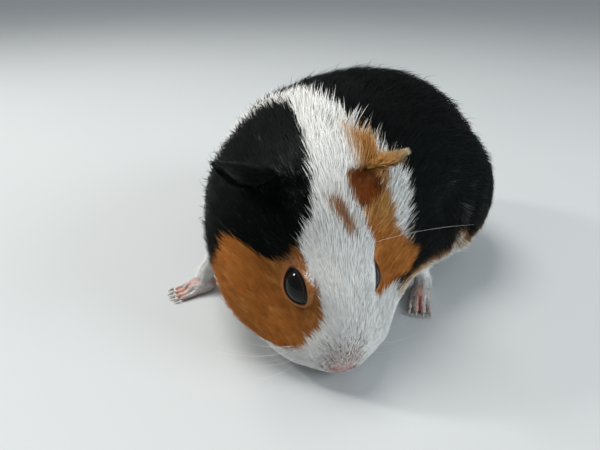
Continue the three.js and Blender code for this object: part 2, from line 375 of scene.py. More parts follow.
# Depths of the coat, and lengths of hair along the head from the nape (-34) to the tip of the nose (25).
HEAD_STATIONS = (-34, -24, -14, -4, 4, 10, 16, 20, 25)
HEAD_DEPTH = (1.4, 1.3, 1.15, 0.95, 0.8, 0.65, 0.5, 0.32, 0.12)
HEAD_HAIR = (8.0, 6.8, 5.4, 4.0, 3.3, 2.8, 2.1, 1.5, 0.8)
DEPTH = {"neck": 1.4, "chest": 1.4, "belly": 1.4, "rump": 1.4, "leg": 0.9, "foot": 0.12}
HAIR = {"neck": 8.6, "chest": 8.4, "belly": 8.4, "rump": 8.6, "leg": 4.4, "foot": 1.1}


def shares_of(surface):
    """How far each point of the skin belongs to each flesh node, blended across their edges."""
    owner = nearest_nodes(surface.points)
    shares = np.zeros((len(owner), len(FLESH)))
    shares[np.arange(len(owner)), owner] = 1
    return surface.smoothed(shares, 24)


def by_region(shares, table, head_values, points):
    """A quantity over the skin, from a table by kind of node, with the head's along its own length."""
    total = np.zeros(len(points))
    for k, name in enumerate(FLESH):
        if name == "head":
            value = np.interp(HEAD.local(points)[:, 0], HEAD_STATIONS, head_values)
        else:
            value = table[name.split("_")[0]]
        total += shares[:, k] * value
    return total


def share_of(shares, *kinds):
    return sum(shares[:, k] for k, name in enumerate(FLESH) if name.split("_")[0] in kinds)


def refined(surface, wanted):
    """The surface with each edge halved whose two ends are wanted."""
    work = bmesh.new()
    work.from_mesh(surface.mesh)
    work.verts.ensure_lookup_table()
    edges = [e for e in work.edges if wanted[e.verts[0].index] and wanted[e.verts[1].index]]
    bmesh.ops.subdivide_edges(work, edges=edges, cuts=1, use_grid_fill=True)
    work.to_mesh(surface.mesh)
    work.free()
    return Surface(surface.mesh)


def near_features(points, reach):
    """Whether points lie within about a reach, in mm, of an eye, or of the nose and mouth."""
    found = np.linalg.norm(HEAD.local(points) - NOSE_MIDDLE, axis=1) < reach + 1.5
    for name in EYES:
        found |= np.linalg.norm(points - centre(name), axis=1) < (EYE_RADIUS + reach - 3.5) * MM
    return found


def in_feet(points):
    """1 low down in the feet, which keep their toes when the skin is smoothed, and 0 above them."""
    return smooth(points[:, 2], 9 * MM, 6 * MM)


def smooth_flesh():
    """The flesh nodes as one smooth surface, with a finer mesh at the face and the feet."""
    surface = Surface(evaluated(flesh_mesh(), voxels))
    rough, gentle = surface.smoothed(surface.points, 14), surface.smoothed(surface.points, 2)
    surface.store(mixed(rough, gentle, in_feet(surface.points)))
    surface = refined(surface, near_features(surface.points, 6) | (surface.points[:, 2] < 5 * MM))
    surface = refined(surface, near_features(surface.points, 4.5))
    fine = in_feet(surface.points)
    surface.store(mixed(surface.smoothed(surface.points, 6), surface.points, fine))
    return surface, fine


def make_skin():
    """The skin, inside the flesh nodes by the depth of the coat, and its shares in them."""
    surface, fine = smooth_flesh()
    shares = shares_of(surface)
    depth = by_region(shares, DEPTH, HEAD_DEPTH, surface.points) + CLOSE_GAPS
    inward = surface.smoothed(surface.normals(), 4)
    points = surface.points - unit(inward) * depth[:, None] * MM
    surface.store(mixed(surface.smoothed(points, 5), points, fine))
    for name in EYES:
        surface.store(lids_over(surface.points, name))
    surface.store(carved(surface))
    return surface, shares


# ---- eyes and lids in the skin

EYE_RADIUS = 4.4
EYE_AXIS = (0.15, 0.86, 0.48)  # outward for the left eye, in the head's own directions
OPENING_LONG = {"eye_left": 40, "eye_right": 52}  # from the eye's axis to the corners of the lids
OPENING_UP = {"eye_left": 8, "eye_right": 24}  # to the edge of the upper lid
OPENING_DOWN = {"eye_left": 27, "eye_right": 36}  # to the edge of the lower lid
OPENING_ROUND = 1.8  # a power: 2 makes the opening an ellipse, and less makes its corners sharper
LID_THICK = 0.35
LID_RIM = 0.13  # radius of the bare edge of the lids
UNDER_EYE = 0.7  # how far the skin lies inside the eyeball's surface within the opening


def eye_place(name):
    """The eye's middle, and the directions to the front, upward and out of the head."""
    sign = 1 if name == "eye_left" else -1
    out = unit(HEAD.turned(np.array(EYE_AXIS) * [1, sign, 1]))
    front = unit(HEAD.x - out * (HEAD.x @ out))
    upward = np.cross(out, front) * sign
    return centre(name), front, upward, out


def opening(turn, name):
    """How far the edge of the lids lies from the eye's axis, as an angle, at angles round it."""
    turn = np.radians(turn)
    long = np.abs(np.cos(turn) / OPENING_LONG[name]) ** OPENING_ROUND
    half_high = np.where(np.sin(turn) > 0, OPENING_UP[name], OPENING_DOWN[name])
    high = np.abs(np.sin(turn) / half_high) ** OPENING_ROUND
    return (long + high) ** (-1 / OPENING_ROUND)


def beyond_lids(points, name):
    """How far points lie outside the edge of the lids, in mm, and the way out from it."""
    middle, front, upward, out = eye_place(name)
    far, from_axis, turn = polar_from(points, middle, out, front, upward)
    aside = far * np.sin(np.radians(np.minimum(from_axis, 90)))
    beyond = aside - EYE_RADIUS * np.sin(np.radians(opening(turn, name)))
    away = points - middle
    way = unit(away - out * (away @ out)[:, None])
    return np.where(far < EYE_RADIUS + 6, beyond, FAR_OFF), way


def lids_over(points, name):
    """The skin dips to the eyeball's edge, over it as lids and under it within their opening."""
    middle = eye_place(name)[0]
    beyond = beyond_lids(points, name)[0]
    away = (points - middle) / MM
    far = np.linalg.norm(away, axis=1)
    lid = EYE_RADIUS - UNDER_EYE + (UNDER_EYE + LID_THICK) * smooth(beyond, -0.4, 0.1)
    over = lid + np.maximum(far - lid, 0) * smooth(beyond, 0.0, 2.6)
    wanted = np.where(beyond > -0.4, over, np.minimum(far, EYE_RADIUS - UNDER_EYE))
    wanted = np.where(far > EYE_RADIUS + 5, far, wanted)
    return middle + away * (wanted / np.maximum(far, 1e-6))[:, None] * MM


# ---- nose, mouth and toes in the skin

FAR_OFF = 99.0  # stands for any distance that is too long to matter
NOSE_MIDDLE = np.array([22.5, 0, -4.0])  # in the head's own frame
NOSTRIL = (24.0, 1.7, -1.6)
NOSTRIL_WING = (22.6, 3.0, -0.2)
SPLIT_LIP = ((24.6, 0, -1.5), (24.2, 0, -5.0), (22.4, 0, -8.6))
MOUTH = ((22.4, 0, -8.6), (20.4, 2.2, -9.6), (17.0, 4.0, -10.6), (14.0, 5.2, -11.4))


def distance_to_path(points, path):
    """How far points lie from a path of straight lines."""
    path = np.asarray(path, float)
    found = np.full(len(points), FAR_OFF)
    for a, b in zip(path[:-1], path[1:]):
        t = np.clip((points - a) @ (b - a) / ((b - a) @ (b - a)), 0, 1)
        found = np.minimum(found, np.linalg.norm(points - a - t[:, None] * (b - a), axis=1))
    return found


def hollow(distance, width):
    """A soft groove's depth at a distance from its middle, 1 at the middle."""
    return np.exp(-((distance / width) ** 2))


def mirrored(path):
    """A path on the left side of the head and its mirror image."""
    return path, [(x, -y, z) for x, y, z in path]


def face_hollows(local):
    """Depth in mm of the nostrils, the split lip and the mouth at points of the head's own frame."""
    depth = 0.35 * hollow(distance_to_path(local, SPLIT_LIP), 0.35)
    for path in mirrored((NOSTRIL, NOSTRIL_WING)):
        depth += 0.75 * hollow(distance_to_path(local, path), 0.5)
    for path in mirrored(MOUTH):
        depth += 0.6 * hollow(distance_to_path(local, path), 0.4)
    return depth


# The hollow before the left ear: its middle, forward and to the left, and its reach at angles round it.
BOWL_MIDDLE = (-9.4, 7.0)
BOWL_CORNERS = ((-180, -121, -75, -24, 45, 116, 180), (3.2, 3.7, 3.3, 4.8, 3.8, 5.8, 3.2))
BOWL_DEPTH = 1.0


def bowl_reach(turn):
    """From the middle of the hollow before an ear to its edge, in mm, at an angle round it."""
    return sum(np.interp((turn + by + 180) % 360 - 180, *BOWL_CORNERS) for by in (-16, 0, 16)) / 3


def beyond_bowl(points, name):
    """How far points lie outside the hollow before an ear, in mm, and the way out from it."""
    sign = 1 if name == "ear_left" else -1
    local = HEAD.local(points)
    x, y = local[:, 0] - BOWL_MIDDLE[0], local[:, 1] * sign - BOWL_MIDDLE[1]
    far = np.hypot(x, y)
    beyond = far - bowl_reach(np.degrees(np.arctan2(y, x)))
    way = HEAD.turned(np.stack([x, y * sign, np.zeros_like(x)], 1) / np.maximum(far, 1e-6)[:, None])
    return np.where((far < 14) & (local[:, 2] > 6), beyond, FAR_OFF), way


CLEFT_LONG = {"front": 5.0, "hind": 8.0}  # from the tips of the toes back
CLEFT_DEEP = 0.55
CREASE_STEP = 1.3  # from one crease across a toe to the next
CREASE_DEEP = 0.07


def toe_lines(leg):
    """The tips of a foot's toes, side by side, and the way back along the foot."""
    tips = [centre(n) for n in sorted(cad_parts) if n.startswith("claw_" + leg)]
    back = centre("foot_" + leg) - sum(tips) / len(tips)
    return tips, unit(back * [1, 1, 0])


def toe_hollows(points):
    """Depth in mm of the clefts between toes and of the creases across them."""
    depth = np.zeros(len(points))
    level = [1, 1, 0]
    for leg in LEGS:
        tips, back = toe_lines(leg)
        long = CLEFT_LONG[leg.split("_")[0]]
        near = np.linalg.norm(points - sum(tips) / len(tips), axis=1) < 2 * long * MM
        local = points[near] / MM
        low = smooth(local[:, 2], 3.4, 2.4)  # not in the flank over the toes
        for a, b in zip(tips[:-1], tips[1:]):
            start = (a + b) / 2 / MM
            flat = distance_to_path(local * level, [start * level, (start + back * long) * level])
            depth[near] += CLEFT_DEEP * hollow(flat, 0.3) * low
        run = (local - tips[0] / MM) @ back
        creases = hollow((run % CREASE_STEP) - CREASE_STEP / 2, 0.22) * smooth(run, 0.6, 1.4)
        creases = creases * smooth(run, long + 1, long - 1)
        depth[near] += CREASE_DEEP * creases * low * smooth(local[:, 2], 0.8, 1.4)
    return depth


def carved(surface):
    """The skin's points with the face, the toes and the hollows before the ears sunk into it."""
    depth = face_hollows(HEAD.local(surface.points)) + toe_hollows(surface.points)
    for name in EARS:
        depth += BOWL_DEPTH * smooth(beyond_bowl(surface.points, name)[0], 0.6, -2.4)
    points = surface.points - surface.normals() * depth[:, None] * MM
    points[:, 2] = np.maximum(points[:, 2], 0)
    return points


# ---- markings

WHITE = np.array([0.92, 0.91, 0.875])
BLACK = np.array([0.0020, 0.0024, 0.0021])
ORANGE = np.array([0.50, 0.160, 0.028])
GOLD = np.array([0.52, 0.255, 0.075])
DARK_ORANGE = np.array([0.30, 0.105, 0.026])
FRINGE = np.array([0.26, 0.11, 0.035])  # of the lower flank, and the cream below it
CREAM = np.array([0.74, 0.64, 0.48])
PINK = np.array([0.62, 0.34, 0.29])
# Redder skin with painted shade, laid into the hollows of the face and the toes by their depth.
CREASE_PINK_AND_SHADE = np.array([0.40, 0.09, 0.06])
NOSE_PINK = np.array([0.56, 0.33, 0.30])
SPECK = np.array([0.20, 0.145, 0.125])
SPECK_SHARE = 0.3  # of the hairs at the nose
# The inner ear's red-brown skin, painted darker with the shade that the flap casts into the hollow before the
# left ear.
EAR_HOLLOW_AND_SHADE = np.array([0.17, 0.038, 0.005])
LID = np.array([0.022, 0.016, 0.013])

# Edges of the markings: side angles in degrees at stations along the head in mm, or the other way about.
BLACK_MIDDLE_EDGE = ((-34, -26, -12, -7, -4, -2, 0), (-4, -7, -8, -11, -13, -17, -24))
BLACK_FRONT_EDGE = ((-125, -90, -82, -75, -65, -57, -45, -24), (-3, -3.3, -6.7, -6.3, -3.6, 0, 1, 0.3))
BLACK_REAR_EDGE = ((-125, -90, -63, -50, -40, -30, -20, -4), (-30, -36, -41.5, -44, -44, -41, -36, -34.5))
ORANGE_MIDDLE_EDGE = ((0, 5, 8, 14, 16.6), (-24, -24, -18, -17, -26))
ORANGE_FRONT_EDGE = ((-120, -88, -78, -62, -50, -38, -20), (11, 16, 17.8, 18.4, 18, 16.7, 15.6))
STRIPE_MIDDLE_EDGE = ((-12, -6, -4, -1, 2.3, 5.5, 9.4, 10.4, 11.2), (10, 12, 18, 21, 32, 34, 35, 41, 56))
STRIPE_OUTER_EDGE = ((-12, -9, -6, -3, -1, 2, 6, 9, 11.2), (34, 38, 50, 54, 66, 80, 82, 68, 56))
EAR_PATCH_MIDDLE_EDGE = ((-26, -20, -15, -10), (17, 17, 17, 15))
COLLAR_REAR_EDGE = (
    (-180, -120, -60, -16, -4, 4, 20, 37, 60, 80, 104, 136, 180),
    (5, -11, -23, -19, -8, -5.5, -0.3, 2.5, 3, 7, 11, 16, 8),
)
HAIR_MIDDLE = 0.5  # a hair has the colour of the marking at this share of its length behind its root
EDGE_WOBBLE = 0.3  # how far hairs carry their colours over the edges of the markings


def along(edge, value):
    """Where an edge of a marking lies at a station or an angle."""
    return np.interp(value, *edge)


def before_black(x, angle):
    return x - along(BLACK_FRONT_EDGE, angle)


def orange_cheek(x, angle):
    share = smooth(along(ORANGE_MIDDLE_EDGE, x) - angle, -1, 1) * smooth(before_black(x, angle), -1.4, -1.0)
    return share * (smooth(along(ORANGE_FRONT_EDGE, angle) - x, -0.3, 0.3) * smooth(angle, -118, -112))


def black_side(x, angle):
    share = smooth(along(BLACK_MIDDLE_EDGE, x) - angle, -1, 1) * smooth(before_black(x, angle), 0.3, -0.3)
    return share * (smooth(x - along(BLACK_REAR_EDGE, angle), -0.3, 0.3) * smooth(angle, -125, -118))


def orange_stripe(x, angle):
    share = smooth(angle - along(STRIPE_MIDDLE_EDGE, x), -1, 1)
    share *= smooth(along(STRIPE_OUTER_EDGE, x) - angle, -1, 1)
    return share * (smooth(x, -12.5, -11.5) * smooth(x, 11.4, 10.8))


def golden_ear_patch(x, angle):
    share = smooth(angle - along(EAR_PATCH_MIDDLE_EDGE, x), -2, 2) * smooth(angle, 46, 40)
    share *= smooth(x, -26, -21) * smooth(x, -9.5, -11)
    return share * (0.35 + 0.65 * smooth(angle, 18, 27))


def forehead_streak(x, angle):
    share = smooth(np.abs(angle - 3 - (x + 4.8) * 1.6), 5.0, 2.4) * smooth(x, -8, -6.5)
    return share * smooth(x, 1.2, -0.8) * 0.95


def head_patches(points, wobble, zone, colour):
    """The black, orange and brown patches of the head laid over a colour, within a zone."""
    local = HEAD.local(points)
    x = local[:, 0] + wobble
    angle = side_angle(local) + wobble * 4
    orange = filled(ORANGE, len(x))
    cheek = mixed(orange, DARK_ORANGE, 0.6 * smooth(angle, -75, -30))
    colour = mixed(colour, cheek, orange_cheek(x, angle) * zone)
    colour = mixed(colour, BLACK, black_side(x, angle) * zone)
    colour = mixed(colour, mixed(orange, GOLD, smooth(x, 1, -6)), orange_stripe(x, angle) * zone)
    colour = mixed(colour, GOLD, golden_ear_patch(x, angle) * zone)
    # The hollows before the ears: red-brown with painted shade under the left flap, black on the right.
    for name in EARS:
        shade = EAR_HOLLOW_AND_SHADE if name == "ear_left" else BLACK
        within = smooth(beyond_bowl(points, name)[0] + wobble, 0.5, -0.5)
        colour = mixed(colour, shade, within * zone)
    return mixed(colour, DARK_ORANGE, forehead_streak(x, angle) * zone)


def trunk_colours(points, wobble):
    """Colours of the coat behind the head: a white collar, a black saddle and a white belly."""
    local = NECK.local(points)
    angle = np.degrees(np.arctan2(local[:, 1], local[:, 2]))
    height = points[:, 2] / MM + wobble * 2
    colour = filled(WHITE, len(points))
    behind = smooth(along(COLLAR_REAR_EDGE, angle) - local[:, 0] + wobble * 2.5, -0.4, 0.4)
    colour = mixed(colour, CREAM, behind * smooth(height, 9.5, 12.0))
    colour = mixed(colour, FRINGE, behind * smooth(height, 12.4, 13.8))
    return mixed(colour, BLACK, behind * smooth(height, 13.6, 15.4))


def coat_colours(spots, shares, rng):
    """The coat's colour at spots of the body, by the same rule for the skin and for the hair."""
    wobble = rng.normal(0, EDGE_WOBBLE, len(spots))
    zone = smooth(share_of(shares, "head", "neck"), 0.12, 0.3)
    colour = head_patches(spots, wobble, zone, trunk_colours(spots, wobble))
    low_leg = share_of(shares, "leg") * smooth(spots[:, 2], 13 * MM, 11 * MM)
    colour = mixed(colour, WHITE, np.clip(low_leg, 0, 1))
    return mixed(colour, WHITE, smooth(share_of(shares, "foot"), 0.3, 0.7))


def skin_colours(surface, spots, shares, rng):
    """The coat's markings on the skin, pinker under white hair, with a bare nose and bare feet, and painted
    shade in the hollows.
    """
    local = HEAD.local(surface.points)
    on_head = share_of(shares, "head")
    colour = coat_colours(spots, shares, rng)
    pale = mixed(filled(WHITE, len(spots)), PINK, np.full(len(spots), 0.12))
    colour = mixed(colour, pale, smooth(colour[:, 2], 0.3, 0.6))
    nose = smooth(local[:, 0], 18.5, 21.5) * smooth(local[:, 2], -8, -5)
    nose = nose * smooth(np.abs(local[:, 1]), 4.2, 2.4)
    colour = mixed(colour, NOSE_PINK, nose * on_head)
    # Painted shade: the nostrils, the split lip and the mouth are darker by their depth.
    hollows = face_hollows(local)
    colour = mixed(colour, CREASE_PINK_AND_SHADE * 0.5, np.clip(hollows * 2.2, 0, 0.9) * on_head)
    colour = mixed(colour, PINK, smooth(share_of(shares, "foot"), 0.25, 0.6))
    # Painted shade over redder skin: the clefts and creases of the toes are darker by their depth.
    colour = mixed(colour, CREASE_PINK_AND_SHADE, np.clip(toe_hollows(surface.points) * 2.5, 0, 0.85))
    for name in EYES:
        colour = mixed(colour, LID, smooth(beyond_lids(surface.points, name)[0], 0.8, 0.3))
    return colour


# ---- materials


class Material:
    """A node material with short calls to add and link nodes."""

    def __init__(self, name, **values):
        self.made = bpy.data.materials.new(name)
        self.made.use_nodes = True
        self.tree = self.made.node_tree
        self.tree.nodes.clear()
        sockets = {key.replace("_", " "): value for key, value in values.items()}
        self.shader = self.add("ShaderNodeBsdfPrincipled", sockets)
        output = self.add("ShaderNodeOutputMaterial")
        self.link(self.shader.outputs[0], output.inputs["Surface"])

    def add(self, kind, values=(), **settings):
        """A new node with its settings, and with values for its sockets by name."""
        node = self.tree.nodes.new(kind)
        for key, value in settings.items():
            setattr(node, key, value)
        for socket, value in dict(values).items():
            node.inputs[socket].default_value = value
        return node

    def link(self, output, socket):
        self.tree.links.new(output, socket)
        return self

    def noise(self, scale, detail=3.0, roughness=0.5, stretch=(1, 1, 1)):
        place = self.add("ShaderNodeTexCoord")
        mapping = self.add("ShaderNodeMapping", {"Scale": stretch})
        texture = self.add("ShaderNodeTexNoise", {"Scale": scale, "Detail": detail, "Roughness": roughness})
        self.link(place.outputs["Object"], mapping.inputs["Vector"])
        self.link(mapping.outputs[0], texture.inputs["Vector"])
        return texture.outputs["Fac"]

    def ramp(self, value, low, high):
        """The middle of a noise's range spread between two numbers."""
        limits = {"From Min": 0.3, "From Max": 0.7, "To Min": low, "To Max": high}
        node = self.add("ShaderNodeMapRange", limits)
        self.link(value, node.inputs["Value"])
        return node.outputs[0]

    def scaled(self, colour, factor):
        node = self.add("ShaderNodeVectorMath", operation="SCALE")
        self.link(colour, node.inputs[0])
        self.link(factor, node.inputs["Scale"])
        return node.outputs[0]

    def markings(self, shade):
        """The colours painted on the mesh, made lighter and darker by a factor."""
        painted = self.add("ShaderNodeAttribute", attribute_name="markings").outputs["Color"]
        return self.colour(self.scaled(painted, shade))

    def mix(self, a, b, factor):
        node = self.add("ShaderNodeMix", data_type="RGBA")
        for socket, value in ((node.inputs[6], a), (node.inputs[7], b)):
            if isinstance(value, tuple):
                socket.default_value = (*value, 1)
            else:
                self.link(value, socket)
        self.link(factor, node.inputs[0])
        return node.outputs[2]

    def colour(self, output):
        return self.link(output, self.shader.inputs["Base Color"])

    def roughness(self, output):
        return self.link(output, self.shader.inputs["Roughness"])

    def bump(self, height, strength, distance):
        node = self.add("ShaderNodeBump", {"Strength": strength, "Distance": distance * MM})
        self.link(height, node.inputs["Height"])
        self.link(node.outputs[0], self.shader.inputs["Normal"])
        return self


def coat_material():
    m = Material("coat", Roughness=0.5, Specular_IOR_Level=0.07, Specular_Tint=(0.75, 1, 0.95, 1))
    m.markings(m.ramp(m.noise(900, 2), 0.93, 1.07))
    m.roughness(m.ramp(m.noise(500, 2), 0.42, 0.6))
    return m.made


def skin_material():
    m = Material("skin", Roughness=0.6)
    m.markings(m.ramp(m.noise(1400, 4), 0.78, 1.15))
    m.roughness(m.ramp(m.noise(800, 2), 0.45, 0.7))
    m.bump(m.noise(3200, 4, 0.6), 0.5, 0.12)
    return m.made


def eye_material():
    m = Material("eye", Roughness=0.05, Specular_IOR_Level=0.22)
    m.markings(m.ramp(m.noise(2500, 5, 0.7), 0.6, 1.4))
    return m.made


def lid_material():
    m = Material("lid", Roughness=0.5, Specular_IOR_Level=0.15)
    m.colour(m.mix((0.010, 0.008, 0.007), (0.028, 0.022, 0.019), m.noise(2200, 4)))
    m.bump(m.noise(5200, 4, 0.6), 0.4, 0.06)
    return m.made


def ear_material():
    m = Material("ear", Roughness=0.65, Specular_IOR_Level=0.06)
    m.markings(m.ramp(m.noise(1500, 5, 0.6), 0.7, 1.25))
    m.roughness(m.ramp(m.noise(900, 3), 0.4, 0.65))
    m.bump(m.noise(2600, 5, 0.65), 0.5, 0.12)
    return m.made


def claw_material():
    m = Material("claw", Roughness=0.35)
    m.colour(m.mix((0.34, 0.27, 0.23), (0.56, 0.46, 0.40), m.noise(1400, 3, 0.5, (1, 1, 0.3))))
    m.bump(m.noise(4200, 3, 0.6), 0.3, 0.04)
    return m.made


def whisker_material():
    m = Material("whisker", Roughness=0.6, Specular_IOR_Level=0.2)
    m.colour(m.mix((0.86, 0.86, 0.84), (0.95, 0.95, 0.93), m.noise(300, 2)))
    return m.made


def floor_material():
    m = Material("floor", Roughness=0.55)
    m.colour(m.mix((0.60, 0.62, 0.63), (0.64, 0.655, 0.66), m.noise(9, 3)))
    m.bump(m.noise(900, 3), 0.05, 0.05)
    return m.made


# ---- the coat

PIECE_TRIANGLES = 190000
PATCH = 0.003  # across a tuft's place on the unwrap
CLUMPS = 7500
EAR_TUFTS = 3200  # on each ear
DRAW = 0.24  # how far a clump draws the tips of its hairs together
DRAW_LIMIT = 0.3  # of a hair's length
LEAN_FROM_LIDS = 1.3
HAIR_ROUNDNESS = 0.25  # how far the sides of a tuft turn away from the body's own shading
BODY_RADIUS = 26.0  # that lying hair bends round
SPIKE = ((0, 1.0), (1, 0))  # rings of a tuft along its length, with their share of its width
BLADE = ((0, 0.75), (0.5, 1.0), (1, 0))
SPARSE = 1.0  # share of the tufts that are made


class Layer(NamedTuple):
    """A layer of the coat."""

    name: str
    tufts: int
    length: float  # as a share of the hair's
    lift: float  # from the skin, in degrees
    girth: float  # as a share of a hair's width
    rings: tuple

    def triangles(self):
        return 4 + 6 * (len(self.rings) - 2)


LAYERS = (
    Layer("under", 150000, 0.72, 14, 1.0, SPIKE),
    Layer("over", 77000, 1.0, 18, 1.0, BLADE),
    Layer("guard", 5000, 1.2, 29, 0.6, BLADE),
)


def hair_width(length):
    return 0.085 + 0.0065 * length


def lie_field(surface, shares):
    """The way the hair lies: from the nose back over the body, and down over the flanks and legs."""
    normals = surface.normals()
    spine = {
        "neck": centre("chest") - centre("head") * 0.5 - centre("neck") * 0.5,
        "chest": centre("belly") - centre("neck"),
        "belly": centre("rump") - centre("chest"),
        "rump": centre("rump") - centre("belly"),
    }
    aside = HEAD.local(surface.points)[:, 1:2] / 14
    side = np.sign(aside)
    face = -HEAD.x - HEAD.z * 0.12 + aside * (HEAD.y * 0.35 * side - HEAD.z * 0.3) * side
    lie = np.zeros_like(surface.points)
    for k, name in enumerate(FLESH):
        kind = name.split("_")[0]
        if kind == "head":
            way = face
        elif kind in spine:
            way = unit(spine[kind] * [1, 1, 0]) - UP * 0.35
        elif kind == "leg":
            way = unit(spine["belly"]) * 0.5 - UP
        else:
            way = -toe_lines(name[5:])[1]
        lie += shares[:, k : k + 1] * unit(way)
    for _ in range(3):
        lie = surface.smoothed(unit(flattened(lie, normals)), 3)
    return unit(flattened(lie, normals))


class Ground:
    """A surface that hair grows on, with its unwrap and the lie and length of its hair, read at roots."""

    def __init__(self, mesh, points, normals, lie, hair):
        self.points = points
        self.normals = normals
        self.lie = lie
        self.hair = hair
        mesh.calc_loop_triangles()
        self.triangles = array_of(mesh.loop_triangles, "vertices", 3, np.int32)
        self.loops = array_of(mesh.loop_triangles, "loops", 3, np.int32)
        self.unwrap = array_of(mesh.uv_layers["OFBake"].uv, "vector", 2)
        a, b, c = (points[self.triangles[:, k]] for k in range(3))
        self.areas = np.linalg.norm(np.cross(b - a, c - a), axis=1) / 2 / MM**2

    def roots(self, weight, count, rng):
        """Places for a number of roots, spread over the surface by a weight at each of its points."""
        wanted = self.areas * weight[self.triangles].mean(1)
        total = np.cumsum(wanted * count / wanted.sum())
        steps = np.arange(int(total[-1])) + rng.random(int(total[-1]))
        picked = np.searchsorted(total, np.minimum(steps, total[-1] - 1e-9))
        r1 = np.sqrt(rng.random(len(picked)))
        r2 = rng.random(len(picked))
        return picked, np.stack([1 - r1, r1 * (1 - r2), r1 * r2], 1)

    def at(self, values, roots):
        """Values of the surface's points, read at roots."""
        picked, weights = roots
        corner = values[self.triangles[picked]]
        if values.ndim == 1:
            return (corner * weights).sum(1)
        return (corner * weights[..., None]).sum(1)

    def unwrap_at(self, roots):
        picked, weights = roots
        return (self.unwrap[self.loops[picked]] * weights[..., None]).sum(1)


class Clumps:
    """Neighbouring hairs that lean together, with a turn, a lift and a tone for each clump of them."""

    def __init__(self, ground, count, rng):
        roots = ground.roots(1 / (ground.hair + 1.0) ** 2, count, rng)
        self.root = ground.at(ground.points, roots)
        self.turn = rng.normal(0, 0.09, len(self.root))
        self.lift = np.radians(rng.normal(0, 3.0, len(self.root)))
        self.tone = rng.normal(1, 0.04, (len(self.root), 1))
        normal = unit(ground.at(ground.normals, roots))
        lie = turned_about(unit(ground.at(ground.lie, roots)), normal, self.turn)
        self.reach = (lie * 0.95 + normal * 0.12) * ground.at(ground.hair, roots)[:, None] * MM
        self.tree = KDTree(len(self.root))
        for k, place in enumerate(self.root.tolist()):
            self.tree.insert(place, k)
        self.tree.balance()

    def nearest(self, points):
        return np.array([self.tree.find(p)[1] for p in points.tolist()])


def reach_of(tufts):
    """From the roots along the hairs, as far as they would reach if they were straight."""
    lift = tufts["lift"][:, None]
    return (tufts["lie"] * np.cos(lift) + tufts["normal"] * np.sin(lift)) * tufts["length"][:, None] * MM


def comb(tufts, tree):
    """Bend the hairs so that their tips settle at an even height over the skin below them."""
    lift, length = tufts["lift"], tufts["length"]
    settle = tufts["normal"] * ((0.5 * np.sin(lift) + length / 2 / BODY_RADIUS) * length)[:, None] * MM
    tips = tufts["root"] + reach_of(tufts) - settle + tufts["draw"]
    over = 0.5 * np.sin(lift) * length * MM
    below = [tree.find_nearest(tip)[:2] for tip in tips.tolist()]
    tufts["normal_at_tip"] = np.array([normal for place, normal in below])
    landed = np.array([place for place, normal in below]) + tufts["normal_at_tip"] * over[:, None]
    tufts["bend"] = landed - tufts["root"] - reach_of(tufts)


def tuft_points(tufts, rings):
    """Corners of the tufts: three-sided, tapering to their tips, each bent along its length."""
    root, normal, width = tufts["root"], tufts["normal"], tufts["width"]
    reach, bend = reach_of(tufts), tufts["bend"]
    across = unit(np.cross(tufts["lie"], normal))
    found = []
    for s, girth in rings:
        middle = root + reach * s + bend * s * s
        half = (width * girth / 2)[:, None] * MM
        if girth == 0:
            found.append(middle[:, None])
        else:
            top = middle + normal * half * 0.6
            found.append(np.stack([middle + across * half, middle - across * half, top], 1))
    points = np.concatenate(found, 1)
    points[..., 2] = np.maximum(points[..., 2], 0.05 * MM)
    return points


def tuft_faces(rings):
    """The triangles of one tuft of a number of rings."""
    faces = [(0, 2, 1)]
    for ring in range(rings - 2):
        for k in range(3):
            a, b = ring * 3 + k, ring * 3 + (k + 1) % 3
            faces += [(a, b, b + 3), (a, b + 3, a + 3)]
    last = (rings - 2) * 3
    return np.array(faces + [(last + k, last + (k + 1) % 3, last + 3) for k in range(3)])


def tuft_normals(tufts, rings):
    """Hair takes most of its shading from the body under it, so that a coat of many hairs looks soft."""
    across = unit(np.cross(tufts["lie"], tufts["normal"]))
    found = []
    for s, girth in rings:
        under = unit(tufts["normal"] * (1 - s) + tufts["normal_at_tip"] * s)
        aside = across * HAIR_ROUNDNESS
        found.append(under[:, None] if girth == 0 else np.stack([under + aside, under - aside, under], 1))
    return unit(np.concatenate(found, 1))


def tuft_mesh(name, tufts, rings, material):
    """One mesh of many tufts, each with its place on the unwrap and its colour."""
    points = tuft_points(tufts, rings)
    count, per = points.shape[:2]
    triangles = (tuft_faces(len(rings))[None] + (np.arange(count) * per)[:, None, None]).reshape(-1, 3)
    mesh = triangle_mesh(name, points.reshape(-1, 3), triangles)
    steps = len(rings) - 1
    spread = [3] * steps + [1]
    # Painted shade: each tuft's colour is darker towards its root, where the coat shades itself.
    shade = np.repeat(np.linspace(0.9, 1.05, len(rings)), spread)  # a little darker at the root
    paint(mesh, (tufts["colour"][:, None] * shade[None, :, None]).reshape(-1, 3))
    spot_u = np.concatenate([[-0.5, 0.5, 0]] * steps + [[0]]) * PATCH
    spot_v = np.repeat(np.linspace(-0.5, 0.5, len(rings)), spread) * PATCH
    spots = np.clip((tufts["place"][:, None] + np.stack([spot_u, spot_v], 1)[None]).reshape(-1, 2), 0, 1)
    layer = mesh.uv_layers.new(name="OFBake")
    layer.uv.foreach_set("vector", spots[triangles.ravel()].astype(np.float32).ravel())
    mesh.normals_split_custom_set_from_vertices(tuft_normals(tufts, rings).reshape(-1, 3))
    return add_object(name, mesh, material)


def clearings(points):
    """How far points lie outside the lids, in mm, and the way out from them."""
    beyond = np.full(len(points), FAR_OFF)
    way = np.zeros_like(points)
    for name in EYES:
        clear, out = beyond_lids(points, name)
        nearer = clear < beyond
        beyond[nearer] = clear[nearer]
        way[nearer] = out[nearer]
    return beyond, way


def within_bowls(points):
    """1 within the hollows before the ears, 0 well outside them."""
    return sum(smooth(beyond_bowl(points, name)[0], 0.6, -1.0) for name in EARS)


